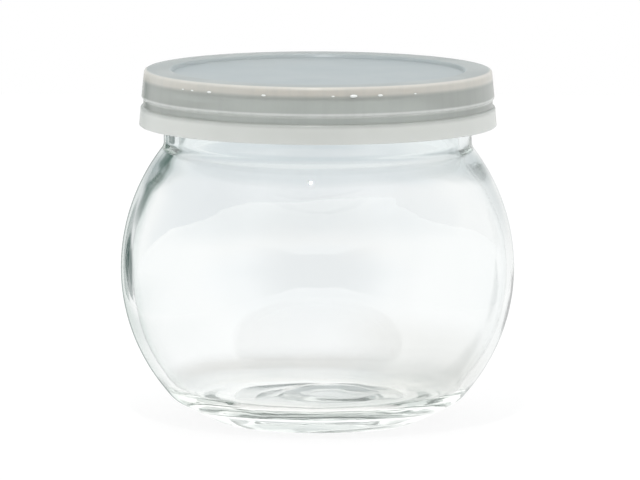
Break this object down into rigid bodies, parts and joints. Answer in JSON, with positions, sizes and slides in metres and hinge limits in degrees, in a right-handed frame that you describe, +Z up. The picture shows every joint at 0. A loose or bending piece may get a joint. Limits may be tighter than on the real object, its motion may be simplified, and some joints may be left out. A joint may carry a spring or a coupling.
{
  "type": "glass spice jar",
  "caption": "Small round clear glass jar on a flat foot, with a short neck and a frosted plastic push-fit lid, for spices and other dry goods.",
  "frame": {"origin": "centre of the foot, on the surface the jar stands on", "axes": "+Z up along the jar's axis; the shape is turned round Z, so X and Y are free"},
  "size_m": [0.066, 0.066, 0.059],
  "materials": {
    "clear_glass": "clear, polished soda-lime glass, slightly green through the edges",
    "frosted_plastic": "translucent, satin, milky grey-white polyethylene"
  },
  "bodies": {
    "root": {"jar_glass": "clear_glass", "snap_lid": "frosted_plastic"}
  },
  "joints": []
}
